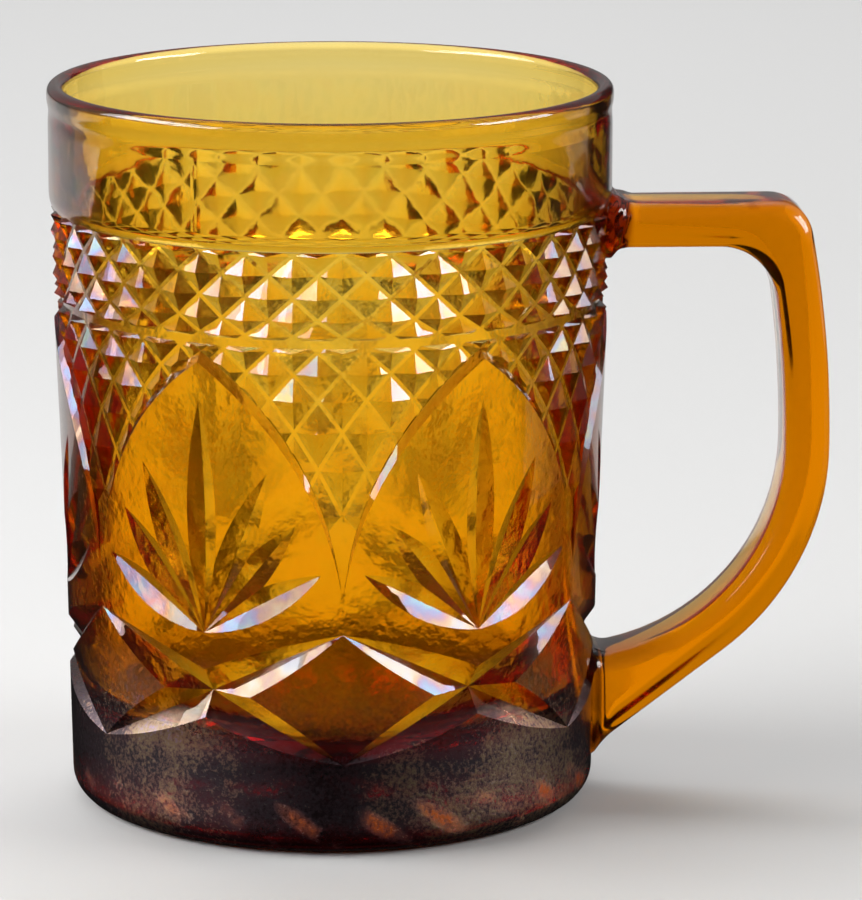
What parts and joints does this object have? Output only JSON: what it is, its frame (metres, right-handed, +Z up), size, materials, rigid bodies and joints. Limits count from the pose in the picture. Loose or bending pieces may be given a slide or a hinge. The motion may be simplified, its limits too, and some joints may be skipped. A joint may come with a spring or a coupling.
{
  "type": "glass mug",
  "caption": "Pressed amber glass mug with a belt of diamond points, pointed arches with fan cuts, crossing mitre cuts and an applied handle.",
  "frame": {"origin": "centre of the underside, on the mug's axis at the standing plane", "axes": "+Z up along the mug's axis, +X from the axis towards the handle"},
  "size_m": [0.1111, 0.08, 0.103],
  "materials": {
    "lustred_amber_glass": "pressed glass, fire polished, with a thin iridescent lustre on the outside",
    "clear_amber_glass": "pressed glass, fire polished"
  },
  "bodies": {
    "root": {"mug_body": "lustred_amber_glass", "handle": "clear_amber_glass"}
  },
  "joints": []
}
